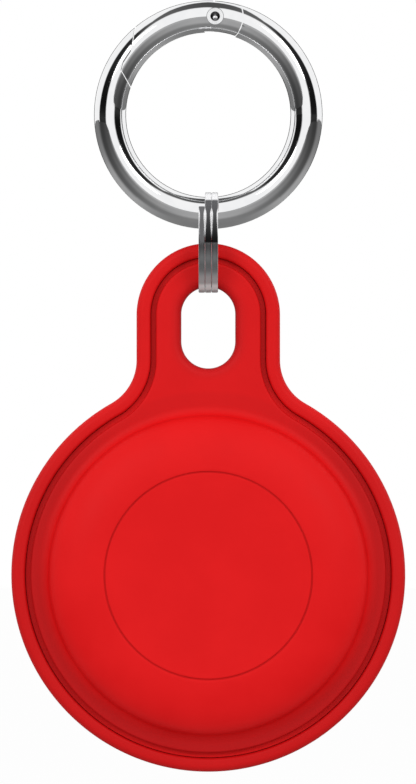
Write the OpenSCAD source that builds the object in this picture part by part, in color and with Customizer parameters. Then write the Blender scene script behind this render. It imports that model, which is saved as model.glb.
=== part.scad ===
// Tracker tag holder: a two-part soft case for a round tag, hung by a split ring from a spring gate ring.
// It hangs as carried: +Z is up, the front faces -Y, and the origin is the inside top of the gate ring.

/* [Gate ring] */
// Outside diameter of the gate ring
ring_od = 25; // [23:0.5:32]
// Thickness of the round bar that the gate ring is cast in
ring_wire = 3.5; // [3.3:0.1:4]
// Place of the hinge pin, in degrees from the right-hand side
pin_turn = 86; // [82:1:92]
// Place of the tip of the gate's nose, in degrees from the right-hand side
nose_turn = 153; // [148:1:158]
// Radius of the seam at the hinge end, measured from the pin
seam_r = 3; // [2.9:0.1:3.6]
// Width of the seams between gate and ring
seam_gap = 0.12; // [0.08:0.01:0.2]

/* [Gate hinge] */
// Diameter of the hinge pin
pin_d = 1; // [0.8:0.1:1.2]
// Diameter of the riveted heads
head_d = 1.9; // [1.6:0.1:2.1]
// Thickness of a riveted head
head_t = 0.4; // [0.3:0.05:0.45]
// Height of a head's face above the bar
head_proud = 0.05; // [0:0.01:0.12]
// Diameter of the punch mark in a head
dimple_d = 1.06; // [0.8:0.02:1.3]
// Depth of the punch mark
dimple_deep = 0.2; // [0.1:0.02:0.25]
// Thickness of the tongue between the two cheeks of the gate
tongue_t = 1.3; // [1.2:0.05:1.4]
// Distance from the pin to the flat that the plunger presses on
cam_reach = 1.1; // [1:0.05:1.2]
// Drop of the heel of that flat below the pin
heel_drop = 1.55; // [1.4:0.05:1.6]

/* [Plunger and spring] */
// Diameter of the plunger
plunger_d = 1.1; // [1:0.02:1.14]
// Length of the plunger from its round tip to its shoulder
plunger_l = 2.15; // [1.8:0.05:2.4]
// Length of the spigot that centres the spring
spigot_l = 1; // [0.6:0.1:1.2]
// Diameter of the spigot
spigot_d = 0.5; // [0.4:0.02:0.56]
// Distance of the plunger's axis below the pin
bore_drop = 0.62; // [0.5:0.02:0.7]
// Distance from the pin to the blind end of the plunger's bore
bore_reach = 6; // [5.4:0.1:6.2]
// Thickness of the spring wire
coil_wire = 0.16; // [0.12:0.01:0.18]
// Outside diameter of the spring
coil_od = 1; // [0.9:0.02:1.08]
// Number of turns of the spring
coil_turns = 6; // [4:1:7]

/* [Split ring] */
// Width of the flat steel wire, measured along the ring's axis
strand_w = 0.67; // [0.5:0.01:0.69]
// Thickness of the flat steel wire
strand_t = 0.34; // [0.3:0.02:0.7]
// Gap between one strand and the next
strand_gap = 0.04; // [0.03:0.01:0.15]
// Angle at which the wire starts, measured from the front, downwards
strand_start = -45; // [-60:1:-30]
// Angle that the wire runs through
strand_sweep = 885; // [840:1:890]

/* [Case outline] */
// Width of the flange and rim beyond the foot of the dome
flange_w = 4.1; // [3.6:0.1:6.6]
// Width of the tab
tab_w = 15.6; // [14.5:0.1:18]
// Height of the tab's round top centre above the body's round edge
tab_reach = 6.92; // [6:0.02:10]
// Gap between the gate ring and the top of the tab
hang_gap = 1.6; // [1.5:0.05:2.6]
// Height of the bar between the tab's top and the slot
bar_h = 4.75; // [4.2:0.05:5.2]
// Width of the slot
slot_w = 5.9; // [5:0.1:7]
// Length of the slot
slot_l = 8.9; // [8:0.1:10]

/* [Case thickness] */
// Thickness over both domes
body_t = 11.2; // [11:0.1:13]
// Thickness of the closed rim and the tab
flange_t = 3.4; // [3.2:0.1:3.6]
// Width of the rim of the rear shell
rim_w = 1.5; // [1.2:0.05:1.8]
// Width of the groove between rim and cover
groove_w = 0.6; // [0.4:0.05:0.9]
// Depth of that groove
groove_deep = 0.7; // [0.4:0.05:1]
// Radius of the cover's edge beside the groove
cover_edge_r = 0.2; // [0.1:0.05:0.4]
// Radius of the slot's edges
slot_edge_r = 0.9; // [0.7:0.05:1]

/* [Domes] */
// Diameter of the flat face of a dome
face_d = 22.6; // [20:0.2:24]
// Thickness of the soft wall from the pocket to the foot of a dome
dome_wall = 1.3; // [1.2:0.05:1.6]
// Radius of the hollow where a dome meets the rim
foot_r = 1; // [0.6:0.1:1.2]
// Width of the fine circle round the flat face
line_w = 0.28; // [0.2:0.02:0.4]
// Depth of that circle
line_deep = 0.2; // [0.1:0.02:0.4]

/* [Tag pocket] */
// Diameter of the tag that the case holds
tag_d = 31.9; // [31:0.1:32.2]
// Thickness of that tag
tag_t = 8; // [7.6:0.1:8.2]
// Room round the tag
tag_room = 0.15; // [0.05:0.05:0.3]
// Height of the pocket's straight wall on each side of the parting plane
pocket_wall_h = 1.9; // [1.2:0.1:2.2]
// Diameter of the pocket's flat floor
pocket_face_d = 21.6; // [18:0.2:23]
// Thickness of the wall between the pocket and the sealing tongue
seal_wall = 1.2; // [0.9:0.05:1.4]
// Width of the sealing tongue
seal_w = 1; // [0.6:0.05:1.2]
// Height of the sealing tongue
seal_h = 0.6; // [0.3:0.05:0.8]

/* [Hidden] */
$fn = 96;

// Overrun of a cut past the face that it opens
over = 1;
// Running clearance of the pin in the tongue
pin_play = 0.03;
// Clearance of the tongue beside each cheek
tongue_play = 0.07;
// Clearance round the turning knuckle
knuckle_play = 0.15;
// Radius of the knuckle round the pin
knuckle_r = 1.35;
// Distance that the fork's open slot reaches behind the pin
fork_back = 0.2;
// Length of the tongue's root inside the ring
tongue_root = 1;
// Clearance of the plunger in its bore
plunger_play = 0.05;
// Length of the spigot's root inside the plunger
spigot_root = 0.5;
// Gap between the plunger's tip and its flat, and at each end of the spring
tip_gap = 0.03;
// Clearance between the split ring and the bar of the gate ring
loop_top_play = 0.18;
// Clearance between the split ring and the bar of the tab
loop_low_play = 0.27;
// Corner cut of the flat wire
strand_corner = 0.1;
// Gap between the two shells where they meet
seat_gap = 0.1;
// Side clearance of the cover in the rim and of the tongue in its channel
side_gap = 0.12;
// Clearance past the end of the sealing tongue
seal_end_gap = 0.12;
// Overlap of a swept edge into the plate that carries it
edge_root = 0.4;
// Direction from the body's centre in which its round edge runs into the hollow neck, in degrees
neck_turn = 61.5;
// Setback of the cover's slot from the rear shell's slot
slot_step = 0.1;
// Extra height of the cover's slot at its top, so that the cover can swing out past the split ring
slot_lift = 0.55;

ring_r = (ring_od - ring_wire) / 2;
ring_z = ring_wire - ring_od / 2;
pin_r = pin_d / 2;
head_r = head_d / 2;
head_face = ring_wire / 2 + head_proud;
head_seat = head_face - head_t;
dimple_r = dimple_d / 2;
dimple_ball_r = (dimple_r * dimple_r + dimple_deep * dimple_deep) / (2 * dimple_deep);
pin_at = ring_r * [cos(pin_turn), sin(pin_turn)];
heel_r = norm([cam_reach, heel_drop]);
fork_gap = tongue_t + 2 * tongue_play;

plunger_r = plunger_d / 2;
bore_r = plunger_r + plunger_play;
tip_x = pin_at[0] - cam_reach - tip_gap;
shoulder_x = tip_x - plunger_l;
bore_end_x = pin_at[0] - bore_reach;
bore_y = pin_at[1] - bore_drop;
coil_r = (coil_od - coil_wire) / 2;

// Points of the nose seam: wire widths along the ring from the tip, then wire radii across it
nose_shares = [[-1.41, 1.3], [-0.69, 0.1], [-0.26, 0.06], [0, -0.085], [0.54, -1.3]];
nose_seam = [
    for (s = nose_shares)
        let (turn = nose_turn + s[0] * ring_wire / ring_r * 180 / PI, r = ring_r + s[1] * ring_wire / 2)
        r * [cos(turn), sin(turn)]
];

ring_low_in = ring_z - ring_od / 2 + ring_wire;
tab_top = ring_z - ring_od / 2 - hang_gap;
slot_top = tab_top - bar_h;
loop_top = ring_low_in + loop_top_play;
loop_low = slot_top - loop_low_play;
loop_r = (loop_top - loop_low) / 2;
loop_z = (loop_top + loop_low) / 2;

pocket_r = tag_d / 2 + tag_room;
dome_r = pocket_r + dome_wall;
seal_r = pocket_r + seal_wall;
body_r = dome_r + flange_w;
tab_r = tab_w / 2;
tab_rise = body_r + tab_reach;
body_z = tab_top - tab_r - tab_rise;
neck_r = (body_r * cos(neck_turn) - tab_r) / (1 - cos(neck_turn));
neck_x = tab_r + neck_r;
neck_y = sqrt(pow(body_r + neck_r, 2) - pow(neck_x, 2));
slot_r = slot_w / 2;
slot_top_y = slot_top - slot_r - body_z;
slot_low_y = slot_top_y - slot_l + slot_w;

half_t = flange_t / 2;
body_half = body_t / 2;
shoulder_h = half_t + foot_r;
face_r = face_d / 2;
pocket_half = tag_t / 2 + tag_room;
pocket_face_r = pocket_face_d / 2;
cover_inset = rim_w + groove_w;

shoulder_steps = 16;
foot_steps = 5;

// Stands a shape that is drawn in the XY plane upright, with its front towards -Y
module upright(height) {
    translate([0, 0, height])
        rotate([90, 0, 0])
            children();
}

// The quarter ellipse from a flat face down to a wall
function shoulder(flat_r, wall_r, top, foot) = [
    for (i = [0:shoulder_steps])
        let (a = 90 - 90 * i / shoulder_steps)
        [flat_r + (wall_r - flat_r) * cos(a), foot + (top - foot) * sin(a)]
];

// The hollow quarter circle from the foot of a dome out to the rim's face
function dome_foot() = [
    for (i = [1:foot_steps])
        let (a = 180 + 90 * i / foot_steps)
        [dome_r + foot_r * (1 + cos(a)), shoulder_h + foot_r * sin(a)]
];

// Outline of the case, drawn in by an inset all round
module case_plan(inset) {
    circle(r = body_r - inset);
    translate([0, tab_rise])
        circle(r = tab_r - inset);
    translate([inset - tab_r, 0])
        square([2 * (tab_r - inset), tab_rise]);
    difference() {
        polygon([[0, 0], [neck_x, neck_y], [-neck_x, neck_y]]);
        for (side = [-1, 1])
            translate([side * neck_x, neck_y])
                circle(r = neck_r + inset);
    }
}

// Sweeps a section round the whole outline: its x is the inset and its y the height
module sweep_round() {
    rotate([0, 0, 180 - neck_turn])
        rotate_extrude(angle = 180 + 2 * neck_turn)
            translate([body_r, 0])
                mirror([1, 0])
                    children();
    translate([0, tab_rise])
        rotate_extrude(angle = 180)
            translate([tab_r, 0])
                mirror([1, 0])
                    children();
    for (side = [0, 1])
        mirror([side, 0]) {
            translate([neck_x, neck_y])
                rotate([0, 0, 180])
                    rotate_extrude(angle = neck_turn)
                        translate([neck_r, 0])
                            children();
            translate([tab_r, tab_rise])
                rotate([90, 0, 0])
                    linear_extrude(tab_rise - neck_y)
                        mirror([1, 0])
                            children();
        }
}

// Section of the cover's rounded edge beside the groove
module cover_edge_section() {
    translate([cover_inset + cover_edge_r, half_t - cover_edge_r])
        circle(r = cover_edge_r);
    translate([cover_inset, seat_gap])
        square([edge_root, half_t - cover_edge_r - seat_gap]);
}

// Cutter for a slot that opens with a rounded edge at the given face
module slot_cutter(r, top_y, low_y, face) {
    module section() {
        translate([0, -body_half])
            square([r, body_t]);
        difference() {
            translate([r, face - slot_edge_r])
                square([slot_edge_r, slot_edge_r + over]);
            translate([r + slot_edge_r, face - slot_edge_r])
                circle(r = slot_edge_r);
        }
    }
    translate([0, top_y])
        rotate_extrude(angle = 180)
            section();
    translate([0, low_y])
        rotate([0, 0, 180])
            rotate_extrude(angle = 180)
                section();
    translate([0, top_y])
        rotate([90, 0, 0])
            linear_extrude(top_y - low_y) {
                section();
                mirror([1, 0])
                    section();
            }
}

// One dome with its shoulder and hollow foot, standing on the parting plane
module dome(low) {
    rotate_extrude()
        polygon(concat(
            [[0, low], [0, body_half]],
            shoulder(face_r, dome_r, body_half, shoulder_h),
            dome_foot(),
            [[dome_r + foot_r, low]]
        ));
}

// The room for the tag, cut alike into both shells
module pocket() {
    half = concat([[0, pocket_half]], shoulder(pocket_face_r, pocket_r, pocket_half, pocket_wall_h));
    rotate_extrude()
        polygon(concat(half, [for (i = [len(half) - 1:-1:0]) [half[i][0], -half[i][1]]]));
}

// The fine circle sunk round the flat face
module face_line() {
    rotate_extrude()
        translate([face_r - line_w / 2, body_half - line_deep])
            square([line_w, line_deep + over]);
}

// A ring with a square section
module band(r, w, low, high) {
    rotate_extrude()
        translate([r, low])
            square([w, high - low]);
}

module rear_shell() {
    color([0.8, 0.09, 0.1])
        upright(body_z)
            difference() {
                union() {
                    linear_extrude(flange_t, center = true)
                        case_plan(0);
                    mirror([0, 0, 1])
                        dome(0);
                }
                linear_extrude(half_t + over)
                    case_plan(rim_w);
                pocket();
                band(seal_r - side_gap, seal_w + 2 * side_gap, -seal_h - seal_end_gap + seat_gap, over);
                mirror([0, 0, 1]) {
                    slot_cutter(slot_r, slot_top_y, slot_low_y, half_t);
                    face_line();
                }
            }
}

module front_cover() {
    color([0.87, 0.11, 0.12])
        upright(body_z)
            difference() {
                union() {
                    translate([0, 0, seat_gap])
                        linear_extrude(half_t - groove_deep - seat_gap)
                            case_plan(rim_w + side_gap);
                    translate([0, 0, seat_gap])
                        linear_extrude(half_t - seat_gap)
                            case_plan(cover_inset + cover_edge_r);
                    sweep_round()
                        cover_edge_section();
                    dome(seat_gap);
                    band(seal_r, seal_w, seat_gap - seal_h, half_t);
                }
                pocket();
                slot_cutter(slot_r + slot_step, slot_top_y + slot_lift, slot_low_y, half_t);
                face_line();
            }
}

// The whole round bar of the gate ring
module full_ring() {
    rotate_extrude()
        translate([ring_r, 0])
            circle(r = ring_wire / 2);
}

// Everything on the gate's side of its two seams
module gate_zone(grow) {
    translate([0, 0, -ring_wire])
        linear_extrude(2 * ring_wire) {
            translate([-grow, 0])
                polygon(concat(nose_seam, [for (s = [-2, 2]) [pin_at[0], ring_r + s * ring_wire]]));
            translate(pin_at)
                circle(r = seam_r + grow);
        }
}

// A plate centred on the ring's plane, drawn round the pin
module pin_plate(thick) {
    translate([pin_at[0], pin_at[1], -thick / 2])
        linear_extrude(thick)
            children();
}

// Tongue of the ring that the gate's cheeks straddle, with the flat and heel that the plunger presses on
module tongue() {
    intersection() {
        full_ring();
        pin_plate(tongue_t)
            difference() {
                union() {
                    circle(r = knuckle_r);
                    translate([-cam_reach, -heel_drop])
                        square([cam_reach, heel_drop]);
                    translate([0, -heel_drop])
                        square([seam_r + seam_gap + tongue_root, heel_drop + ring_wire]);
                }
                translate([-cam_reach - ring_wire, -ring_wire])
                    square([ring_wire, 2 * ring_wire]);
                circle(r = pin_r + pin_play);
            }
    }
}

// Slot between the gate's two cheeks, wide enough for the heel to turn in
module fork_slot() {
    pin_plate(fork_gap) {
        circle(r = knuckle_r + knuckle_play);
        intersection() {
            circle(r = heel_r + knuckle_play);
            translate([-ring_wire, -ring_wire])
                square([2 * ring_wire, ring_wire]);
        }
        translate([-fork_back, -ring_wire])
            square([fork_back + seam_r + ring_wire, 2 * ring_wire]);
    }
}

module ring_body() {
    color([0.78, 0.79, 0.81])
        upright(ring_z) {
            difference() {
                full_ring();
                gate_zone(seam_gap);
            }
            tongue();
        }
}

module gate() {
    color([0.85, 0.86, 0.88])
        upright(ring_z)
            difference() {
                intersection() {
                    full_ring();
                    gate_zone(0);
                }
                fork_slot();
                pin_plate(2 * ring_wire)
                    circle(r = pin_r);
                for (side = [0, 1])
                    mirror([0, 0, side])
                        translate([pin_at[0], pin_at[1], head_seat])
                            cylinder(r = head_r, h = ring_wire);
                translate([bore_end_x, bore_y])
                    rotate([0, 90, 0])
                        cylinder(r = bore_r, h = bore_reach);
            }
}

module gate_pin() {
    color([0.7, 0.71, 0.73])
        upright(ring_z)
            translate(pin_at)
                difference() {
                    union() {
                        cylinder(r = pin_r, h = 2 * head_seat, center = true);
                        for (side = [0, 1])
                            mirror([0, 0, side])
                                translate([0, 0, head_seat])
                                    cylinder(r = head_r, h = head_t);
                    }
                    for (side = [-1, 1])
                        translate([0, 0, side * (head_face - dimple_deep + dimple_ball_r)])
                            sphere(r = dimple_ball_r);
                }
}

module plunger() {
    color([0.72, 0.66, 0.5])
        upright(ring_z)
            translate([shoulder_x, bore_y])
                rotate([0, 90, 0]) {
                    cylinder(r = plunger_r, h = plunger_l - plunger_r);
                    translate([0, 0, plunger_l - plunger_r])
                        sphere(r = plunger_r);
                    translate([0, 0, -spigot_l])
                        cylinder(r = spigot_d / 2, h = spigot_l + spigot_root);
                }
}

// Triangles of a tube with a number of sides, through a number of rings of points, with both ends closed
function tube_faces(rings, sides) = concat(
    [
        for (i = [0:rings - 2], j = [0:sides - 1])
            let (a = i * sides + j, b = i * sides + (j + 1) % sides)
            each [[a, b, a + sides], [b, b + sides, a + sides]]
    ],
    [for (j = [1:sides - 2]) [0, j + 1, j]],
    [for (j = [1:sides - 2]) (rings - 1) * sides * [1, 1, 1] + [0, j, j + 1]]
);

// Least gap between places on a wire that lie at least a number of rings apart
function least_gap(path, apart, thick) = min([
    for (i = [0:len(path) - 1 - apart], j = [i + apart:len(path) - 1])
        norm(path[i] - path[j]) - thick
]);

coil_sides = 6;
coil_steps = 8;
coil_rings = coil_turns * coil_steps + 1;
coil_first_x = shoulder_x - tip_gap - coil_wire / 2;
coil_last_x = bore_end_x + tip_gap + coil_wire / 2;
coil_path = [
    for (i = [0:coil_rings - 1])
        let (turn = 360 * i / coil_steps, along = i / (coil_rings - 1))
        [coil_first_x + (coil_last_x - coil_first_x) * along, coil_r * cos(turn), coil_r * sin(turn)]
];

module gate_spring() {
    // Each ring of points holds the direction of the spring's axis
    points = [
        for (i = [0:coil_rings - 1], k = [0:coil_sides - 1])
            let (turn = 360 * i / coil_steps, a = 360 * k / coil_sides, out = coil_wire / 2 * cos(a))
            coil_path[i] + [coil_wire / 2 * sin(a), out * cos(turn), out * sin(turn)]
    ];
    color([0.6, 0.61, 0.63])
        upright(ring_z)
            translate([0, bore_y])
                polyhedron(points, tube_faces(coil_rings, coil_sides));
}

// The strand moves over by one pitch where it passes the back, and lies flat elsewhere
strand_step = 5;
strand_apart = 300;
strand_pitch = strand_w + strand_gap;
strand_rings = floor(strand_sweep / strand_step) + 1;
crank_half = 35;
function ease(u) = let (t = max(0, min(1, u))) t * t * (3 - 2 * t);
function strand_shift(turn) =
    ease((turn - 180 + crank_half) / (2 * crank_half)) + ease((turn - 540 + crank_half) / (2 * crank_half)) - 1;
strand_r = loop_r + strand_t / 2;
strand_path = [
    for (i = [0:strand_rings - 1])
        let (turn = strand_start + i * strand_step)
        [strand_pitch * strand_shift(turn), -strand_r * cos(turn), -strand_r * sin(turn)]
];

module split_ring() {
    // Eight corners of the flat wire: across its width, then outwards from the ring's centre
    w = strand_w / 2;
    t = strand_t / 2;
    c = strand_corner;
    section = [
        [w - c, -t], [c - w, -t], [-w, c - t], [-w, t - c], [c - w, t], [w - c, t], [w, t - c], [w, c - t]
    ];
    points = [
        for (i = [0:strand_rings - 1], p = section)
            let (turn = strand_start + i * strand_step)
            strand_path[i] + [p[0], -p[1] * cos(turn), -p[1] * sin(turn)]
    ];
    color([0.62, 0.63, 0.65])
        translate([0, 0, loop_z])
            polyhedron(points, tube_faces(strand_rings, len(section)));
}

echo(least_gap_of_the_gate_spring = least_gap(coil_path, coil_steps - 2, coil_wire));
echo(least_gap_of_the_split_ring = least_gap(strand_path, floor(strand_apart / strand_step), strand_w));

ring_body();
gate();
gate_pin();
plunger();
gate_spring();
split_ring();
rear_shell();
front_cover();
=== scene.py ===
"""Looks of the tracker tag holder: red silicone shells, chrome gate ring and steel split ring."""

import math

import bmesh
import bpy
from mathutils import Matrix, Vector


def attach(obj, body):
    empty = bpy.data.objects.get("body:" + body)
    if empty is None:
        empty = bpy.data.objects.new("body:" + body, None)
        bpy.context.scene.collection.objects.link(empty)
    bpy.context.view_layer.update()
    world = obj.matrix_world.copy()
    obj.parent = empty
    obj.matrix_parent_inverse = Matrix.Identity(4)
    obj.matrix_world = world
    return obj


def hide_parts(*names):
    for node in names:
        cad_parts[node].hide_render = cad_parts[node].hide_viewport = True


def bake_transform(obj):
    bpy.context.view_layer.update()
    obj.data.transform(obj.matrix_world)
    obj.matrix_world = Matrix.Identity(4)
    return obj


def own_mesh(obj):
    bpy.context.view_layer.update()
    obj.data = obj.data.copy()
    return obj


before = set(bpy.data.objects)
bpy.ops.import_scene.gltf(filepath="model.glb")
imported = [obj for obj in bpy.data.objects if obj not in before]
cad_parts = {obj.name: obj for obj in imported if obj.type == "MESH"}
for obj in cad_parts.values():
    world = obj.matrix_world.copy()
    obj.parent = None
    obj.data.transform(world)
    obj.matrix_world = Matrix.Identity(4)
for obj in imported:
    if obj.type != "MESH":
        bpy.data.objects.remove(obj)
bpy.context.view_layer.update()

# Sizes of the case in millimetres, as in the CAD source but for the neck and the fine circle
MM = 0.001
BODY_R = 21.5
TAB_R = 7.8
TAB_RISE = 28.42
NECK_TURN = math.radians(60.5)
NECK_R = (BODY_R * math.cos(NECK_TURN) - TAB_R) / (1 - math.cos(NECK_TURN))
NECK_X = TAB_R + NECK_R
NECK_Y = math.sqrt((BODY_R + NECK_R) ** 2 - NECK_X ** 2)
BODY_Z = -59.32
HALF_T = 1.7
BODY_HALF = 5.6
RIM_W = 1.5
GROOVE_W = 0.6
GROOVE_DEEP = 0.7
SEAT_GAP = 0.1
FACE_R = 11.3
DOME_R = 17.4
FOOT_R = 1.0
LINE_W = 0.16
LINE_DEEP = 0.14
POCKET_R = 16.1
POCKET_HALF = 4.15
POCKET_WALL = 1.9
POCKET_FACE_R = 10.8
SEAL_R = 17.3
SEAL_W = 1.0
SEAL_H = 0.6
SEAL_GAP = 0.12
SLOT_R = 2.95
SLOT_TOP_Y = 28.52
SLOT_LOW_Y = 25.52

# Roundings of the case's edges, and the height of the mould line
SLOT_EDGE_R = 0.9
COVER_EDGE_R = 0.2
GROOVE_EDGE_R = 0.06
LINE_EDGE_R = 0.05
RIM_EDGE_R = 0.7
RIM_LIP_R = 0.35
MOULD_LINE = 0.05

# Insets and radii at which the swept rims and the turned domes meet the flat faces
FLAT_INSET = 2.5
FLAT_SLOT_R = 4.05
FLAT_DOME_R = 18.5

# Sizes of the two springs, as in the CAD source but for the wire's width and corners
LOOP_R = 5.15
LOOP_Z = -22.97
STRAND_W = 0.695
STRAND_T = 0.34
STRAND_CORNER_R = 0.12
STRAND_PITCH = 0.71
STRAND_START = -45
STRAND_SWEEP = 885
STRAND_STEP = 2.5
CRANKS = (180, 540)
CRANK_HALF = 35
COIL_WIRE = 0.16
COIL_R = 0.42
COIL_TURNS = 6
COIL_TURN_STEPS = 20
COIL_FIRST_X = -2.64
COIL_LAST_X = -5.14
COIL_Z = 1.104

# The gate ring, its bar, and the place of its rivet
RING_Z = -9.0
RING_R = 10.75
RING_BAR_R = 1.75
PIN_X, PIN_Z = 0.75, 1.724

# Steps of the meshes, the distance at which points are one, and the angle of a sharp edge
BODY_STEPS, NECK_STEPS, TAB_STEPS, SLOT_STEPS, TURNED_STEPS = 120, 24, 64, 48, 192
CLOSE = 0.001
SHARP = math.radians(32)

# Reds of the silicone, from the duller to the brighter, or of painted light from the lit to the
# dark
REDS = (0.70, 0.0035, 0.0045), (0.735, 0.0050, 0.0060)
BODY_FLOOR_LIT_REDS = (0.70, 0.0045, 0.0055), (0.55, 0.0040, 0.0050)
TAB_FLOOR_LIT_REDS = (0.62, 0.0040, 0.0045), (0.50, 0.0035, 0.0040)
# Painted shade: reds of the flange round the dome, the fine circle and the edge of the slot
FLANGE_SHADE_RED = (0.38, 0.0040, 0.0050)
LINE_SHADE_RED = (0.12, 0.0015, 0.0015)
SLOT_SHADE_RED = (0.36, 0.0070, 0.0090)
FLANGE_SHADE_SHARE = 0.66
LINE_SHADE_SHARE = 0.15

# Where the painted shade and light change, in metres: radii of the flange, and heights over the
# dome's middle
FLANGE_IN = (0.0173, 0.0188)
FLANGE_OUT = (0.0196, 0.0204)
FLANGE_RISE = (0.0100, 0.0200)
TAB_RISES = (0.0180, 0.0225)
# Distances from the middle line, depths from the middle plane, and widths round line and slot
BODY_FLOOR_X = (0.006, 0.016)
TAB_FLOOR_X = (0.0030, 0.0062)
GROOVE_Y = (0.00105, 0.0012)
FACE_Y = (0.0048, 0.0052)
LINE_HALF = (0.00008, 0.00013)
SLOT_WIDE = (0.0, 0.0016)
SLOT_FINE = (0.0, 0.0003)

# Where the metals change, in metres: the bar's cut faces with painted shade, and the rivet's mark
# and rim
BAR_SKINS = (0.05 * MM, 0.02 * MM)
LEFT_SEAM_X = (-0.006, -0.004)
MARK_IN = (0.00012, 0.0002)
MARK_OUT = (0.00045, 0.00054)
HEAD_RIM = (0.00086, 0.00093)

# Lines of turned and drawn metal to a metre, and how little the drawn ones change along the wire
LATHE_LINES = 60000
DRAWN_LINES = 14000
DRAWN_STRETCH = 2

# The picture: its size, and pixels to a millimetre in the object's middle plane
FRAME_W, FRAME_H = 416, 784
PX_PER_MM = 9.14
RING_X_PX, RING_Z_PX = 208.28, 114.83
CAMERA_FAR = 1.0
CAMERA_CLIP = (0.01, 20)
SENSOR = 36.0

# The studio in metres: floor, lamps and light levels
FLOOR_Z = -0.125
FLOOR_SIZE = 3.0
FLOOR_WHITE = 0.97
FLOOR_PAINT = 0.52
SKY_LEVEL = 0.93
LAMP_PLACE = (0.42, -0.70, 0.32)
LAMP_AIM = (0, 0, -0.045)
LAMP_SIZE = 0.3
LAMP_POWER = 1.4

# What only metal reflects: a card over the floor, a flag between ring and case, and a disc
CARD_SIZE = 5.5
CARD_DROP = 0.106
FLAG_SIZE = 0.0115
FLAG_Y = 0.0069
FLAG_DROP = 0.0132
FLAG_START = 0.00155
FLAG_BAR = 0.01145
DISC_Y = 0.5
DISC_R = 0.285
DISC_GREY = 0.03

# The dark arch: its soft borders, and rows of clock angle, first and last polar angle, grey
ARCH_R = 0.5
ARCH_FIRST = -2
ARCH_STEP = 2
ARCH_SOFT = (5, 2, 2, 4)
ARCH = [
    (0, 33, 82, 0.03), (5, 32, 81, 0.008), (10, 32, 79, 0.006), (20, 35, 78, 0.010),
    (30, 41, 77, 0.018), (40, 47, 76, 0.018), (50, 53, 78, 0.03), (60, 61, 79, 0.12),
    (70, 67, 102, 0.12), (80, 69, 116, 0.09), (90, 70, 124, 0.08),
]

# Sockets of the colour mix node, which has several of the same name
MIX_A, MIX_B, MIX_RESULT = 6, 7, 2


def arc(centre, radii, first, last, steps):
    """Points of a circular or elliptic arc in a section, between two angles in degrees."""
    angles = [math.radians(first + (last - first) * i / steps) for i in range(steps + 1)]
    return [(centre[0] + radii[0] * math.cos(a), centre[1] + radii[1] * math.sin(a))
            for a in angles]


def section(bm, points, place):
    """Joins the points of a section by edges, each point set down by place(across, up)."""
    verts = [bm.verts.new(place(*p)) for p in points]
    return verts + [bm.edges.new(pair) for pair in zip(verts, verts[1:])]


def turned(bm, points):
    """Turns a section of radius and height once round the upright axis."""
    start = section(bm, points, lambda r, up: (r, 0, up))
    bmesh.ops.spin(bm, geom=start, cent=(0, 0, 0), axis=(0, 0, 1), dvec=(0, 0, 0),
                   angle=math.tau, steps=TURNED_STEPS, use_merge=True)


def carried(bm, geom, route):
    """Carries a section along a route of turns (centre, angle, steps) and slides (x, y)."""
    for stage in route:
        if len(stage) == 3:
            centre, angle, steps = stage
            made = bmesh.ops.spin(bm, geom=geom, cent=(*centre, 0), axis=(0, 0, 1),
                                  dvec=(0, 0, 0), angle=angle, steps=steps)
        else:
            made = bmesh.ops.spin(bm, geom=geom, cent=(0, 0, 0), axis=(0, 0, 1),
                                  dvec=(*stage, 0), angle=0, steps=1)
        geom = made["geom_last"]


def round_case(bm, points):
    """Carries a section of inset and height round the outline of the case."""
    start = section(bm, points, lambda inset, up: (0, inset - BODY_R, up))
    body = (0, 0), NECK_TURN + math.pi / 2, BODY_STEPS
    rise = TAB_RISE - NECK_Y
    carried(bm, start, [
        body, ((NECK_X, NECK_Y), -NECK_TURN, NECK_STEPS), (0, rise),
        ((0, TAB_RISE), math.pi, TAB_STEPS),
        (0, -rise), ((-NECK_X, NECK_Y), -NECK_TURN, NECK_STEPS), body,
    ])


def round_slot(bm, points):
    """Carries a section of distance from the slot's middle line and height round the slot."""
    start = section(bm, points, lambda out, up: (-out, SLOT_LOW_Y, up))
    rise = SLOT_TOP_Y - SLOT_LOW_Y
    carried(bm, start, [
        ((0, SLOT_LOW_Y), math.pi, SLOT_STEPS), (0, rise),
        ((0, SLOT_TOP_Y), math.pi, SLOT_STEPS), (0, -rise),
    ])


def flat_face(bm, up):
    """Fills what is still open at a height with one flat face of triangles."""
    bmesh.ops.remove_doubles(bm, verts=bm.verts, dist=CLOSE)
    rim = [e for e in bm.edges
           if e.is_boundary and all(abs(v.co.z - up) < CLOSE for v in e.verts)]
    bmesh.ops.triangle_fill(bm, use_beauty=True, use_dissolve=False, edges=rim, normal=(0, 0, 1))


def tipped(bm, verts):
    """Turns what is drawn level upright, with its upper side towards -Y."""
    bmesh.ops.rotate(bm, verts=verts, cent=(0, 0, 0),
                     matrix=Matrix.Rotation(math.pi / 2, 3, "X"))


def only_edges(geom):
    """The edges of what an operator made."""
    return [e for e in geom if isinstance(e, bmesh.types.BMEdge)]


def finished(name, bm, material, slot, *nodes):
    """Makes a piece of a closed mesh in millimetres, which stands for CAD nodes."""
    bmesh.ops.remove_doubles(bm, verts=bm.verts, dist=CLOSE)
    bmesh.ops.scale(bm, verts=bm.verts, vec=(MM, MM, MM))
    bmesh.ops.recalc_face_normals(bm, faces=bm.faces)
    for face in bm.faces:
        face.smooth = True
    for edge in bm.edges:
        edge.smooth = edge.calc_face_angle(0) < SHARP
    piece = mesh_object(name, bm, material)
    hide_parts(*nodes)
    return piece


def mesh_object(name, bm, material):
    """Puts a mesh with its material in the scene."""
    mesh = bpy.data.meshes.new(name)
    bm.to_mesh(mesh)
    bm.free()
    mesh.materials.append(material)
    made = bpy.data.objects.new(name, mesh)
    bpy.context.scene.collection.objects.link(made)
    return made


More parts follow.
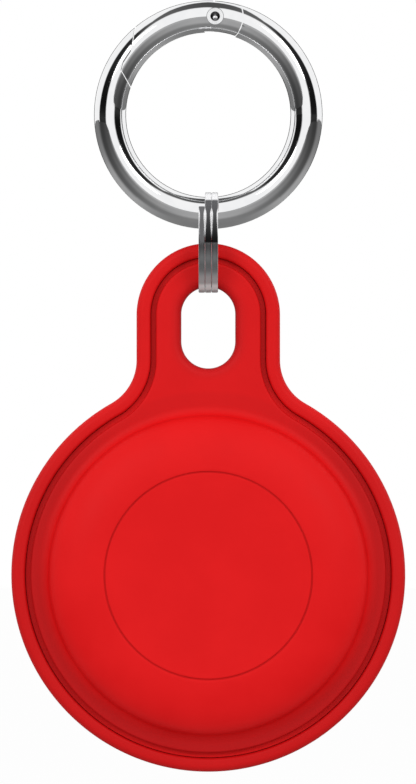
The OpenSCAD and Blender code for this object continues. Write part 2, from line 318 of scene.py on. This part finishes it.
class Wire:
    """A shader socket that takes part in sums."""

    def __init__(self, finish, socket):
        self.finish = finish
        self.socket = socket

    def math(self, operation, first, second):
        return self.finish.node("ShaderNodeMath", {"operation": operation}, {0: first, 1: second})

    def __add__(self, other):
        return self.math("ADD", self, other)

    def __sub__(self, other):
        return self.math("SUBTRACT", self, other)

    def __rsub__(self, other):
        return self.math("SUBTRACT", other, self)

    def __mul__(self, other):
        return self.math("MULTIPLY", self, other)

    def __truediv__(self, other):
        return self.math("DIVIDE", self, other)

    def __pow__(self, other):
        return self.math("POWER", self, other)

    def __abs__(self):
        return (self * self) ** 0.5

    __radd__ = __add__
    __rmul__ = __mul__


class Finish:
    """A material, made by adding nodes to its tree."""

    def __init__(self, tree):
        self.tree = tree

    def node(self, kind, settings, inputs, output=0):
        """Adds a node with its settings and inputs, and gives one of its outputs."""
        made = self.tree.nodes.new(kind)
        for key, value in settings.items():
            setattr(made, key, value)
        for key, value in inputs.items():
            if isinstance(value, Wire):
                self.tree.links.new(value.socket, made.inputs[key])
            else:
                made.inputs[key].default_value = value
        return Wire(self, made.outputs[output]) if made.outputs else None

    def noise(self, where, scale, detail):
        """Noise from 0 to 1 with a number of patches to a metre."""
        return self.node("ShaderNodeTexNoise", {}, {
            "Vector": where, "Scale": scale, "Detail": detail, "Roughness": 0.55})

    def bands(self, value, low, high, floor=0.0, ceiling=1.0):
        """Value stretched softly from low..high to floor..ceiling and held inside it."""
        return self.node("ShaderNodeMapRange", {"interpolation_type": "SMOOTHSTEP"}, {
            "Value": value, "From Min": low, "From Max": high,
            "To Min": floor, "To Max": ceiling})

    def tint(self, share, first, second):
        """Mixes two colours by a share."""
        first, second = (c if isinstance(c, Wire) else (*c, 1) for c in (first, second))
        return self.node("ShaderNodeMix", {"data_type": "RGBA"}, {
            "Factor": share, MIX_A: first, MIX_B: second}, MIX_RESULT)

    def bump(self, height, depth, strength):
        """A bump whose full height is depth metres."""
        return self.node("ShaderNodeBump", {}, {
            "Height": height, "Distance": depth, "Strength": strength})


def span(across, up):
    """Distance that two coordinates make."""
    return (across * across + up * up) ** 0.5


def new_finish(name, **settings):
    """A material with one Principled shader, whose fixed inputs are set here."""
    material = bpy.data.materials.new(name)
    material.use_nodes = True
    shader = material.node_tree.nodes["Principled BSDF"]
    for key, value in settings.items():
        shader.inputs[key.replace("_", " ")].default_value = value
    return material, Finish(material.node_tree), shader


def feed(finish, shader, **wires):
    """Links wires to the shader's inputs."""
    for key, wire in wires.items():
        finish.tree.links.new(wire.socket, shader.inputs[key.replace("_", " ")])


def object_place(finish):
    """A point's place on the object, and its three coordinates in metres."""
    place = finish.node("ShaderNodeTexCoord", {}, {}, "Object")
    split = finish.node("ShaderNodeSeparateXYZ", {}, {"Vector": place})
    x, y, z = (Wire(finish, split.socket.node.outputs[i]) for i in range(3))
    return place, x, y, z


def silicone(name, groove):
    """Soft red silicone, finely matt and faintly mottled, with painted shade round the dome, in
    the fine circle and at the slot, and painted light on its groove's floor or not.
    """
    material, finish, shader = new_finish(name, IOR=1.41, Specular_IOR_Level=0.17)
    place, x, y, z = object_place(finish)
    mottle = finish.noise(place, scale=180, detail=4)
    cloud = finish.noise(place, scale=45, detail=2)
    grain = finish.noise(place, scale=9000, detail=2)
    colour = finish.tint(finish.bands(mottle * 0.6 + cloud * 0.4, 0.35, 0.65), *REDS)
    # Painted shade: the flange and rim round the dome are a darker red than the dome and the tab
    rise = z - BODY_Z * MM
    out = span(x, rise)
    flange_shade = finish.bands(out, *FLANGE_IN) - finish.bands(out, *FLANGE_OUT, 0.0, 0.4)
    flange_shade = flange_shade * finish.bands(rise, *FLANGE_RISE, 1.0, 0.42)
    colour = finish.tint(flange_shade * FLANGE_SHADE_SHARE, colour, FLANGE_SHADE_RED)
    # Painted light: the floor of the groove is lighter, as if lit from its walls, less towards the
    # sides
    body_floor = finish.tint(finish.bands(abs(x), *BODY_FLOOR_X), *BODY_FLOOR_LIT_REDS)
    tab_floor = finish.tint(finish.bands(abs(x), *TAB_FLOOR_X), *TAB_FLOOR_LIT_REDS)
    groove_light_red = finish.tint(finish.bands(rise, *TAB_RISES), body_floor, tab_floor)
    sunk = finish.bands(abs(y), *GROOVE_Y, 1.0, 0.0)
    colour = finish.tint(sunk * groove, colour, groove_light_red)
    # Painted shade: the fine circle round the flat face is dark
    fine = finish.bands(abs(out - FACE_R * MM), *LINE_HALF, 1.0, 0.0)
    fine = fine * finish.bands(abs(y), *FACE_Y) * LINE_SHADE_SHARE
    colour = finish.tint(fine, colour, LINE_SHADE_RED)
    # Painted shade: the edge of the slot is a little darker too
    slot_middle = (SLOT_TOP_Y + SLOT_LOW_Y) / 2 * MM
    slot_half = (SLOT_TOP_Y - SLOT_LOW_Y) / 2 * MM
    past = finish.node("ShaderNodeMath", {"operation": "MAXIMUM"}, {
        0: abs(rise - slot_middle) - slot_half, 1: 0.0})
    brink = span(x, past) - SLOT_R * MM
    near = finish.bands(brink, *SLOT_WIDE, 0.35, 0.0) + finish.bands(brink, *SLOT_FINE, 0.35, 0.0)
    colour = finish.tint(near, colour, SLOT_SHADE_RED)
    roughness = finish.bands(grain * 0.5 + mottle * 0.5, 0.3, 0.7, 0.46, 0.60)
    feed(finish, shader, Base_Color=colour, Roughness=roughness,
         Normal=finish.bump(grain, 0.000004, 0.5))
    return material


def chrome():
    """Bright chrome plating with faint waves and haze, and painted shade on the cut faces in the
    left seam.
    """
    material, finish, shader = new_finish("ring_chrome", Metallic=1.0)
    dull, bright, dark = (0.86, 0.865, 0.875), (0.90, 0.90, 0.905), (0.04, 0.04, 0.045)
    place, x, y, z = object_place(finish)
    wave = finish.noise(place, scale=260, detail=2)
    haze = finish.noise(place, scale=900, detail=4)
    colour = finish.tint(finish.bands(haze, 0.3, 0.7), dull, bright)
    # Painted shade: the bar's cut faces in the left seam are dark
    off = span(x, z - RING_Z * MM) - RING_R * MM
    inside = finish.bands(span(off, y), *(RING_BAR_R * MM - skin for skin in BAR_SKINS), 1.0, 0.0)
    colour = finish.tint(inside * finish.bands(x, *LEFT_SEAM_X, 1.0, 0.0), colour, dark)
    feed(finish, shader, Base_Color=colour,
         Roughness=finish.bands(haze, 0.35, 0.75, 0.02, 0.06),
         Normal=finish.bump(wave, 0.000006, 0.5))
    return material


def rivet_steel():
    """Nickel-plated rivet: bright flat ring, dark punch mark with a bright bottom, dark rim."""
    material, finish, shader = new_finish("rivet_steel", Metallic=1.0)
    dull, bright, dark = (0.84, 0.845, 0.85), (0.92, 0.92, 0.925), (0.05, 0.05, 0.055)
    place, x, _, z = object_place(finish)
    ring = span(x - PIN_X * MM, z - PIN_Z * MM)
    ridge = finish.node("ShaderNodeMath", {"operation": "SINE"}, {0: ring * LATHE_LINES})
    haze = finish.noise(place, scale=3000, detail=3)
    mark = finish.bands(ring, *MARK_IN) - finish.bands(ring, *MARK_OUT)
    rim = finish.bands(ring, *HEAD_RIM)
    colour = finish.tint(mark * 0.85 + rim * 0.8, finish.tint(haze, dull, bright), dark)
    feed(finish, shader, Base_Color=colour,
         Roughness=finish.bands(haze, 0.3, 0.7, 0.10, 0.18),
         Normal=finish.bump(ridge, 0.0000015, 0.4))
    return material


def drawn_steel(finish, middle_z):
    """Draw lines along a wire bent round a centre, with x, y and the height from -1 to 1."""
    _, x, y, z = object_place(finish)
    down = z - middle_z
    out = span(y, down)
    turn = finish.node("ShaderNodeMath", {"operation": "ARCTAN2"}, {0: y, 1: down})
    along = finish.node("ShaderNodeCombineXYZ", {}, {
        0: x * DRAWN_LINES, 1: out * DRAWN_LINES, 2: turn * DRAWN_STRETCH})
    return finish.noise(along, scale=1, detail=3), x, y, down / out


def coil_steel():
    """Plain drawn steel of the small spring and the plunger."""
    material, finish, shader = new_finish("spring_steel", Metallic=1.0)
    lines, _, _, _ = drawn_steel(finish, COIL_Z * MM)
    colour = finish.tint(finish.bands(lines, 0.3, 0.7), (0.48, 0.48, 0.49), (0.62, 0.62, 0.63))
    feed(finish, shader, Base_Color=colour,
         Roughness=finish.bands(lines, 0.3, 0.7, 0.18, 0.34),
         Normal=finish.bump(lines, 0.000003, 0.6))
    return material


def loop_steel():
    """Polished flat wire with painted reflections: its front nearly black above and paler
    downwards, with painted highlights on its edges.
    """
    material, finish, shader = new_finish("split_ring_steel", Specular_IOR_Level=0.1)
    lines, x, y, height = drawn_steel(finish, LOOP_Z * MM)
    # Greys and whites of the painted reflections and highlights on the wire's front
    ink, soot, coal = (0.004, 0.004, 0.004), (0.105, 0.105, 0.11), (0.13, 0.13, 0.135)
    slate, lead, ash = (0.155, 0.155, 0.16), (0.30, 0.32, 0.32), (0.40, 0.41, 0.415)
    ice, highlight_milk, highlight_snow = (0.86, 0.93, 0.93), (0.85, 0.85, 0.86), (0.92, 0.92, 0.93)
    # The edge is 0 on a strand's middle line and 1 at both of its borders
    strand = finish.node("ShaderNodeMath", {"operation": "FRACT"}, {
        0: x / (STRAND_PITCH * MM) + 8.5})
    edge = (strand - 0.5) * (strand - 0.5) * 4
    # Painted reflection on the lower half: slate, ash in a band, and ice at the foot, with lead
    # borders
    band = finish.bands(height, -0.05, -0.42) - finish.bands(height, -0.42, -0.60)
    foot = finish.bands(height, -0.42, -0.85, 0.0, 0.30)
    foot = foot + finish.bands(height, -0.80, -0.88, 0.0, 0.5)
    foot = foot - finish.bands(height, -0.93, -0.97, 0.0, 0.4)
    lower = finish.tint(foot, finish.tint(band, slate, ash), ice)
    lower = finish.tint(finish.bands(edge, 0.70, 0.95), lower, lead)
    # Painted reflection on the upper half: coal on the first strand and ink to soot on the others
    first = finish.bands(x, -0.00045, -0.0003, 1.0, 0.0)
    upper = finish.tint(finish.bands(height, 0.0, 0.85), ink, soot)
    upper = finish.tint(first, upper, coal)
    colour = finish.tint(finish.bands(height, 0.0, -0.04, 1.0, 0.0), lower, upper)
    # Painted highlights on its borders, widest halfway up, and on the top
    wide = finish.bands(height, 0.02, 0.50) - finish.bands(height, 0.55, 0.72)
    bright = finish.bands(edge + wide * 0.55, 0.75, 1.05) * finish.bands(height, 0.0, 0.2)
    colour = finish.tint(bright, colour, highlight_snow)
    colour = finish.tint(finish.bands(height, 0.82, 0.86), colour, highlight_milk)
    colour = finish.tint(lines * 0.02, colour, (0.4, 0.4, 0.41))
    # The rear half is plain bright steel, and the front, with its painted reflections, is metal
    # only in the strands' middle
    front = finish.bands(y, -0.0006, 0.0003, 1.0, 0.0)
    plain = finish.tint(finish.bands(lines, 0.3, 0.7), (0.60, 0.60, 0.61), (0.72, 0.72, 0.73))
    metal = finish.bands(height, -0.42, -0.72, 1.0, 0.0)
    metal = metal * finish.bands(height, 0.40, 0.60, 1.0, 0.0)
    metal = metal * finish.bands(edge, 0.55, 0.80, 1.0, 0.0)
    feed(finish, shader, Base_Color=finish.tint(front, plain, colour),
         Metallic=1.0 - front * (1.0 - metal),
         Roughness=finish.bands(lines, 0.3, 0.7, 0.10, 0.22),
         Normal=finish.bump(lines, 0.000003, 0.6))
    return material


def dome_section():
    """Section of a dome from its middle, over the fine circle and the shoulder, to its foot."""
    line_in, line_out = FACE_R - LINE_W / 2, FACE_R + LINE_W / 2
    line_low, edge_up = BODY_HALF - LINE_DEEP, BODY_HALF - LINE_EDGE_R
    edge = (LINE_EDGE_R, LINE_EDGE_R)
    foot_up = HALF_T + FOOT_R
    return [
        (0, BODY_HALF), (FACE_R / 2, BODY_HALF), (line_in - 4 * LINE_EDGE_R, BODY_HALF),
        *arc((line_in - LINE_EDGE_R, edge_up), edge, 90, 0, 3),
        (line_in, line_low), (line_out, line_low),
        *arc((line_out + LINE_EDGE_R, edge_up), edge, 180, 90, 3),
        *arc((FACE_R, foot_up), (DOME_R - FACE_R, BODY_HALF - foot_up), 86, 0, 36),
        *arc((DOME_R + FOOT_R, foot_up), (FOOT_R, FOOT_R), 190, 270, 8),
        (FLAT_DOME_R, HALF_T),
    ]


def pocket_section(side):
    """Section of the tag's room in the front (1) or rear (-1) shell, out to its wall."""
    radii = (POCKET_R - POCKET_FACE_R, (POCKET_HALF - POCKET_WALL) * side)
    return [(0, POCKET_HALF * side), *arc((POCKET_FACE_R, POCKET_WALL * side), radii, 90, 0, 20)]


def front_silicone(material):
    """The cover: dome, flange, groove edge, slot, and the tag's room with its sealing tongue."""
    edge = RIM_W + GROOVE_W
    groove_up = HALF_T - GROOVE_DEEP
    bm = bmesh.new()
    round_case(bm, [
        (FLAT_INSET, HALF_T),
        *arc((edge + COVER_EDGE_R, HALF_T - COVER_EDGE_R), (COVER_EDGE_R, COVER_EDGE_R),
             90, 180, 5),
        *arc((edge - GROOVE_EDGE_R, groove_up + GROOVE_EDGE_R), (GROOVE_EDGE_R, GROOVE_EDGE_R),
             0, -90, 3),
        (RIM_W + GROOVE_EDGE_R, groove_up), (RIM_W + GROOVE_EDGE_R, SEAT_GAP),
        (FLAT_INSET, SEAT_GAP),
    ])
    round_slot(bm, [
        (FLAT_SLOT_R, HALF_T),
        *arc((SLOT_R + SLOT_EDGE_R, HALF_T - SLOT_EDGE_R), (SLOT_EDGE_R, SLOT_EDGE_R),
             90, 180, 10),
        (SLOT_R, SEAT_GAP), (FLAT_SLOT_R, SEAT_GAP),
    ])
    turned(bm, dome_section())
    turned(bm, [
        *pocket_section(1),
        (POCKET_R, SEAT_GAP), (SEAL_R, SEAT_GAP), (SEAL_R, SEAT_GAP - SEAL_H),
        (SEAL_R + SEAL_W, SEAT_GAP - SEAL_H), (SEAL_R + SEAL_W, SEAT_GAP),
        (FLAT_DOME_R, SEAT_GAP),
    ])
    flat_face(bm, HALF_T)
    flat_face(bm, SEAT_GAP)
    tipped(bm, bm.verts)
    bmesh.ops.translate(bm, verts=bm.verts, vec=(0, 0, BODY_Z))
    return finished("front_silicone", bm, material, "red_silicone", "front_cover")


def rear_silicone(material):
    """The rear shell: rounded rim with its mould line, recess, dome, slot and the tag's room."""
    channel_in, channel_out = SEAL_R - SEAL_GAP, SEAL_R + SEAL_W + SEAL_GAP
    bm = bmesh.new()
    round_case(bm, [
        (FLAT_INSET, 0), (RIM_W, 0),
        *arc((RIM_W - RIM_LIP_R, HALF_T - RIM_LIP_R), (RIM_LIP_R, RIM_LIP_R), 0, 90, 5),
        *arc((RIM_EDGE_R, HALF_T - RIM_EDGE_R), (RIM_EDGE_R, RIM_EDGE_R), 90, 180, 9),
        (0, MOULD_LINE), (-MOULD_LINE, 0), (0, -MOULD_LINE),
        *arc((RIM_EDGE_R, RIM_EDGE_R - HALF_T), (RIM_EDGE_R, RIM_EDGE_R), 180, 270, 9),
        (FLAT_INSET, -HALF_T),
    ])
    round_slot(bm, [
        (FLAT_SLOT_R, 0), (SLOT_R, 0),
        *arc((SLOT_R + SLOT_EDGE_R, SLOT_EDGE_R - HALF_T), (SLOT_EDGE_R, SLOT_EDGE_R),
             180, 270, 10),
        (FLAT_SLOT_R, -HALF_T),
    ])
    turned(bm, [(r, -up) for r, up in dome_section()])
    turned(bm, [
        *pocket_section(-1),
        (POCKET_R, 0), (channel_in, 0), (channel_in, -SEAL_H),
        (channel_out, -SEAL_H), (channel_out, 0), (FLAT_DOME_R, 0),
    ])
    flat_face(bm, 0)
    flat_face(bm, -HALF_T)
    tipped(bm, bm.verts)
    bmesh.ops.translate(bm, verts=bm.verts, vec=(0, 0, BODY_Z))
    return finished("rear_silicone", bm, material, "red_silicone", "rear_shell")


def ease(share):
    """A share from 0 to 1 that starts and stops softly."""
    share = max(0.0, min(1.0, share))
    return share * share * (3 - 2 * share)


def strand_shift(turn):
    """Place of the flat wire along the ring's axis, which moves by a pitch at each crank."""
    return STRAND_PITCH * sum(
        ease((turn - crank + CRANK_HALF) / (2 * CRANK_HALF)) for crank in CRANKS)


def split_ring_wire(material):
    """The split ring: flat wire with rounded corners, wound round almost twice and a half."""
    half_w, half_t = STRAND_W / 2 - STRAND_CORNER_R, STRAND_T / 2 - STRAND_CORNER_R
    corners = [(half_w, half_t), (-half_w, half_t), (-half_w, -half_t), (half_w, -half_t)]
    outline = [p for i, centre in enumerate(corners)
               for p in arc(centre, (STRAND_CORNER_R, STRAND_CORNER_R), i * 90, i * 90 + 90, 4)]
    start = math.radians(STRAND_START)
    out = LOOP_R + STRAND_T / 2
    bm = bmesh.new()
    verts = [bm.verts.new((x - STRAND_PITCH, -(out + up) * math.cos(start),
                           -(out + up) * math.sin(start))) for x, up in outline]
    geom = verts + [bm.edges.new(pair) for pair in zip(verts, verts[1:] + verts[:1])]
    ends = [geom]
    for i in range(int(STRAND_SWEEP / STRAND_STEP)):
        turn = STRAND_START + i * STRAND_STEP
        shift = strand_shift(turn + STRAND_STEP) - strand_shift(turn)
        made = bmesh.ops.spin(bm, geom=geom, cent=(0, 0, 0), axis=(1, 0, 0),
                              angle=math.radians(STRAND_STEP), dvec=(shift, 0, 0), steps=1)
        geom = made["geom_last"]
    ends.append(geom)
    for end in ends:
        bmesh.ops.edgeloop_fill(bm, edges=only_edges(end))
    bmesh.ops.translate(bm, verts=bm.verts, vec=(0, 0, LOOP_Z))
    return finished("split_ring_wire", bm, material, "polished_steel", "split_ring")


def gate_spring_coil(material):
    """The small coil spring behind the plunger."""
    steps = COIL_TURNS * COIL_TURN_STEPS
    bm = bmesh.new()
    made = bmesh.ops.create_circle(bm, cap_ends=False, segments=8, radius=COIL_WIRE / 2)
    bmesh.ops.translate(bm, verts=made["verts"], vec=(0, COIL_R, 0))
    tipped(bm, made["verts"])
    bmesh.ops.translate(bm, verts=made["verts"], vec=(COIL_FIRST_X, 0, 0))
    first = list(bm.edges)
    made = bmesh.ops.spin(bm, geom=list(bm.verts) + first, cent=(0, 0, 0), axis=(1, 0, 0),
                          angle=math.tau * COIL_TURNS, steps=steps,
                          dvec=((COIL_LAST_X - COIL_FIRST_X) / steps, 0, 0))
    for end in (first, made["geom_last"]):
        bmesh.ops.edgeloop_fill(bm, edges=only_edges(end))
    bmesh.ops.translate(bm, verts=bm.verts, vec=(0, 0, COIL_Z))
    return finished("gate_spring_coil", bm, material, "spring_steel", "gate_spring")


def set_finish(node, material):
    """Gives a CAD node its finish."""
    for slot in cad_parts[node].material_slots:
        slot.material = material


def stage_sheet(name, bm, material):
    """A sheet of the stage, which isn't part of the object."""
    sheet = mesh_object(name, bm, material)
    return sheet


def mirrored_sheet(name, bm, material):
    """A sheet of the stage that only metal reflects."""
    sheet = stage_sheet(name, bm, material)
    sheet.visible_camera = False
    sheet.visible_diffuse = False
    sheet.visible_transmission = False
    sheet.visible_shadow = False


def level_square(place, size):
    """A level square round a place, which reaches size to each side."""
    bm = bmesh.new()
    bmesh.ops.create_grid(bm, x_segments=2, y_segments=2, size=size)
    bmesh.ops.translate(bm, verts=bm.verts, vec=place)
    return bm


def light_paths(finish):
    """1 for what the camera, metal or glass sees, and 0 for light that falls on the object."""
    seen = finish.node("ShaderNodeLightPath", {}, {}, "Is Camera Ray")
    paths = seen.socket.node.outputs
    return seen + Wire(finish, paths["Is Glossy Ray"]) + Wire(finish, paths["Is Transmission Ray"])


def stage_material(name):
    """A material with an empty tree, for a sheet of the stage."""
    material = bpy.data.materials.new(name)
    material.use_nodes = True
    material.node_tree.nodes.clear()
    return material, Finish(material.node_tree)


def glow(finish, colour):
    """Lets a sheet of the stage glow in a colour."""
    light = finish.node("ShaderNodeEmission", {}, {"Color": colour, "Strength": 1.0})
    finish.node("ShaderNodeOutputMaterial", {}, {"Surface": light})


def floor():
    """A pale floor under the hanging object, white to the camera and in reflections."""
    material, finish = stage_material("floor_white")
    light = finish.node("ShaderNodeEmission", {}, {"Color": (1, 1, 1, 1), "Strength": 1.0})
    paint = finish.node("ShaderNodeBsdfDiffuse", {}, {"Color": (*[FLOOR_PAINT] * 3, 1)})
    both = finish.node("ShaderNodeMixShader", {}, {
        0: light_paths(finish) * FLOOR_WHITE, 1: paint, 2: light})
    finish.node("ShaderNodeOutputMaterial", {}, {"Surface": both})
    stage_sheet("floor", level_square((0, 0, FLOOR_Z), FLOOR_SIZE), material)


def card_glow(name, drop, start, bar):
    """Greys of a card, drop under the ring, for rays that leave it start forward and bar out."""
    material, finish = stage_material(name)
    _, x, y, _ = object_place(finish)
    reach = span(x, drop)
    side = x * x / (reach * reach)
    ahead = (y + start) / (reach - bar)
    # Grey in front, darker below and lighter behind, and darker towards both sides
    low = 0.22 - side * 0.175
    front = 0.40 - side * 0.33 + side * finish.bands(ahead, -1.7, -6.5, 0.0, 0.45)
    back = finish.bands(side, 0.0, 0.5, 0.20, 0.37) - finish.bands(side, 0.7, 1.0, 0.0, 0.17)
    grey = low + finish.bands(ahead, -0.5, -1.3) * (front - low)
    grey = grey + finish.bands(ahead, -0.3, 0.25) * (back - low)
    glow(finish, grey)
    return material


def grey_card():
    """A grey card just over the floor."""
    material = card_glow("grey_card", CARD_DROP, 0.0, 0.0)
    place = (0, 0, RING_Z * MM - CARD_DROP)
    mirrored_sheet("grey_card", level_square(place, CARD_SIZE), material)


def small_flag():
    """A small card that keeps a red streak off the ring's underside."""
    material = card_glow("small_flag", FLAG_DROP, FLAG_START, FLAG_BAR)
    place = (0, FLAG_Y, RING_Z * MM - FLAG_DROP)
    mirrored_sheet("small_flag", level_square(place, FLAG_SIZE), material)


def rear_disc():
    """A dark disc far behind that draws a fine line round polished metal."""
    material, finish = stage_material("rear_disc")
    glow(finish, (*[DISC_GREY] * 3, 1))
    bm = bmesh.new()
    bmesh.ops.create_circle(bm, cap_ends=True, segments=64, radius=DISC_R)
    tipped(bm, bm.verts)
    bmesh.ops.translate(bm, verts=bm.verts, vec=(0, DISC_Y, RING_Z * MM))
    mirrored_sheet("rear_disc", bm, material)


def swing(bm, verts, clock):
    """Swings points of the arch clockwise, as seen from the front, by a clock angle."""
    bmesh.ops.rotate(bm, verts=verts, cent=(0, 0, 0),
                     matrix=Matrix.Rotation(-math.radians(clock), 3, "Y"))


def settle(verts, greys, clock):
    """Puts a row of the arch at its polar angles, with white borders round its grey."""
    reach = abs(90 - abs(clock - 90))
    row, after = next(pair for pair in zip(ARCH, ARCH[1:]) if reach <= pair[1][0])
    share = (reach - row[0]) / (after[0] - row[0])
    first, last, grey = (a + (b - a) * share for a, b in zip(row[1:], after[1:]))
    outer, inner, near, far = ARCH_SOFT
    edges = (first - outer, first + inner, last - near, last + far)
    for vert, edge, level in zip(verts, edges, (1.0, grey, grey, 1.0)):
        vert.co.y = -ARCH_R / math.tan(math.radians(edge))
        vert[greys] = level


def dark_arch():
    """A dark arch, wide at both sides, narrow at the shoulders and wide overhead."""
    material, finish = stage_material("dark_arch")
    glow(finish, finish.node("ShaderNodeAttribute", {"attribute_name": "grey"}, {}, "Fac"))
    bm = bmesh.new()
    greys = bm.verts.layers.float.new("grey")
    start = section(bm, [(ARCH_R, i) for i in range(4)], lambda out, y: (out, y, 0))
    row = start[:4]
    swing(bm, row, ARCH_FIRST)
    settle(row, greys, ARCH_FIRST)
    for clock in range(ARCH_FIRST + ARCH_STEP, 180 - ARCH_FIRST + 1, ARCH_STEP):
        edges = [bm.edges.get(pair) for pair in zip(row, row[1:])]
        made = bmesh.ops.extrude_edge_only(bm, edges=edges)
        fresh = [v for v in made["geom"] if isinstance(v, bmesh.types.BMVert)]
        row = [min(fresh, key=lambda v: (v.co - old.co).length) for old in row]
        swing(bm, row, ARCH_STEP)
        settle(row, greys, clock)
    bmesh.ops.translate(bm, verts=bm.verts, vec=(0, 0, RING_Z * MM))
    mirrored_sheet("dark_arch", bm, material)


def lamp(name, side):
    """A soft square lamp to one side above the camera, which faces the object."""
    light = bpy.data.lights.new(name, "AREA")
    light.size = LAMP_SIZE
    light.energy = LAMP_POWER
    holder = bpy.data.objects.new(name, light)
    place = Vector((LAMP_PLACE[0] * side, *LAMP_PLACE[1:]))
    holder.location = place
    holder.rotation_euler = (Vector(LAMP_AIM) - place).to_track_quat("-Z", "Y").to_euler()
    bpy.context.scene.collection.objects.link(holder)


def studio():
    """White surroundings for the camera and in reflections, with a softer level as light."""
    world = bpy.data.worlds.new("studio")
    world.use_nodes = True
    bpy.context.scene.world = world
    finish = Finish(world.node_tree)
    finish.tree.nodes.clear()
    light, white = (
        finish.node("ShaderNodeBackground", {}, {"Color": (1, 1, 1, 1), "Strength": level})
        for level in (SKY_LEVEL, 1.0)
    )
    both = finish.node("ShaderNodeMixShader", {}, {0: light_paths(finish), 1: light, 2: white})
    finish.node("ShaderNodeOutputWorld", {}, {"Surface": both})
    lamp("upper_left_lamp", -1)
    lamp("upper_right_lamp", 1)


def camera():
    """A long lens straight in front, with the photograph's framing."""
    data = bpy.data.cameras.new("camera")
    data.sensor_width = SENSOR
    data.lens = SENSOR * CAMERA_FAR / (FRAME_H / PX_PER_MM * MM)
    data.clip_start, data.clip_end = CAMERA_CLIP
    holder = bpy.data.objects.new("camera", data)
    middle_x = (FRAME_W / 2 - RING_X_PX) / PX_PER_MM * MM
    middle_z = (RING_Z - (FRAME_H / 2 - RING_Z_PX) / PX_PER_MM) * MM
    holder.location = (middle_x, -CAMERA_FAR, middle_z)
    holder.rotation_euler = (math.pi / 2, 0, 0)
    bpy.context.scene.collection.objects.link(holder)
    bpy.context.scene.camera = holder


bpy.context.scene.view_settings.view_transform = "Standard"
camera()
studio()
floor()
grey_card()
small_flag()
rear_disc()
dark_arch()

# The front copy has painted light on its groove's floor
rear_red = silicone("red_silicone", 0.0)
front_red = silicone("red_silicone_front", 1.0)
ring_chrome = chrome()
spring_steel = coil_steel()
for node in ("ring_body", "gate"):
    set_finish(node, ring_chrome)
set_finish("gate_pin", rivet_steel())
set_finish("plunger", spring_steel)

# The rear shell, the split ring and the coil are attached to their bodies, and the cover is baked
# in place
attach(rear_silicone(rear_red), "holder")
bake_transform(front_silicone(front_red))
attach(split_ring_wire(loop_steel()), "split_ring")
coil = gate_spring_coil(spring_steel)
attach(coil, "gate")
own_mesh(coil)
